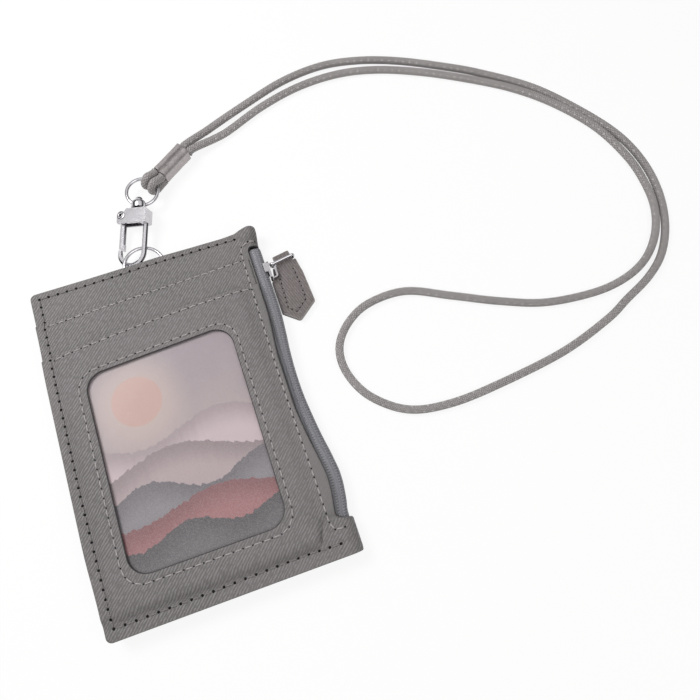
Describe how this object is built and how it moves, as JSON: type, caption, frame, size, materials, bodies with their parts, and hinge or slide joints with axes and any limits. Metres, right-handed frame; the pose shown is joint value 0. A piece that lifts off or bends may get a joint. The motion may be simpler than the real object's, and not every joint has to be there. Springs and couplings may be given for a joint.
{
  "type": "business card holder",
  "caption": "Flat leather card holder with a window pocket, an open card slot, a zip down one side with a leather puller, and a swivel snap hook on a long doubled cord.",
  "frame": {"origin": "middle of the leather body on its flat back, on the table", "axes": "+X towards the zip, +Y towards the open upper edges of the card slots and the snap hook, +Z out of the front"},
  "size_m": [0.2244, 0.1735, 0.0087],
  "materials": {
    "leather": "cross-grain embossed, satin",
    "film": "clear, glossy",
    "card": "printed, matt",
    "lining": "plain woven",
    "tape": "woven tape",
    "teeth": "moulded",
    "nickel": "polished nickel plate",
    "steel": "plain",
    "cord": "round braid",
    "sleeve": "smooth shrunk sleeve"
  },
  "bodies": {
    "holder": {"shell": "leather", "slot_panel": "leather", "window_panel": "leather", "window_film": "film", "lining_front": "lining", "lining_back": "lining", "zip_tape_front": "tape", "zip_tape_back": "tape", "zip_teeth_front": "teeth", "zip_teeth_back": "teeth", "zip_top_stop_front": "nickel", "zip_top_stop_back": "nickel", "zip_bottom_stop": "nickel", "ring_tab": "leather"},
    "card": {"insert_card": "card"},
    "slider": {"slider_body": "nickel", "slider_bail": "nickel"},
    "puller": {"puller_ring": "nickel"},
    "puller_tab": {"puller_leather": "leather"},
    "tab_ring": {"lower_ring": "nickel"},
    "hook": {"hook_body": "nickel", "gate_pin": "steel", "gate_spring": "steel"},
    "hook_gate": {"gate": "nickel"},
    "hook_swivel": {"swivel": "nickel"},
    "cord_ring": {"upper_ring": "nickel"},
    "lanyard": {"cord_loop_left": "cord", "cord_loop_right": "cord", "crimp": "sleeve", "lanyard_cord": "cord"}
  },
  "joints": [
    {"name": "card_slide", "type": "slide", "parent": "holder", "child": "card", "axis": [0, 1, 0], "range_m": [0, 0.025]},
    {"name": "zip_slide", "type": "slide", "parent": "holder", "child": "slider", "axis": [0, -1, 0], "range_m": [0, 0.0775]},
    {"name": "puller_swing", "type": "hinge", "parent": "slider", "child": "puller", "pos_m": [0.0402, 0.0418, 0.00313], "axis": [0, 0, 1], "range_deg": [0, 65]},
    {"name": "puller_tab_swing", "type": "hinge", "parent": "puller", "child": "puller_tab", "pos_m": [0.0402, 0.0418, 0.00188], "axis": [0.9962, 0.0872, 0], "range_deg": [0, 60]},
    {"name": "tab_ring_swing", "type": "hinge", "parent": "holder", "child": "tab_ring", "pos_m": [-0.0009, 0.0498, 0.00235], "axis": [1, 0, 0], "range_deg": [-40, 3]},
    {"name": "hook_swing", "type": "hinge", "parent": "tab_ring", "child": "hook", "pos_m": [-0.003, 0.06069, 0.00278], "axis": [0.8971, 0.4279, -0.1103], "range_deg": [-18, 25]},
    {"name": "gate_turn", "type": "hinge", "parent": "hook", "child": "hook_gate", "pos_m": [-0.00304, 0.07588, 0.00283], "axis": [-0.2749, -0.0033, 0.9615], "range_deg": [0, 25], "stiffness_Nm_per_rad": 0.004, "springref_deg": -34.38},
    {"name": "swivel_turn", "type": "hinge", "parent": "hook", "child": "hook_swivel", "pos_m": [0.00253, 0.07634, 0.00443], "axis": [0.3241, 0.9412, 0.0958], "continuous": true},
    {"name": "cord_ring_swing", "type": "hinge", "parent": "hook_swivel", "child": "cord_ring", "pos_m": [0.00308, 0.07794, 0.00459], "axis": [0.8974, -0.4397, -0.0348], "range_deg": [-60, 60]},
    {"name": "lanyard_swing", "type": "hinge", "parent": "cord_ring", "child": "lanyard", "pos_m": [0.01001, 0.08548, 0.00398], "axis": [-0.5124, 0.8587, 0.0006], "range_deg": [-20, 20]}
  ]
}
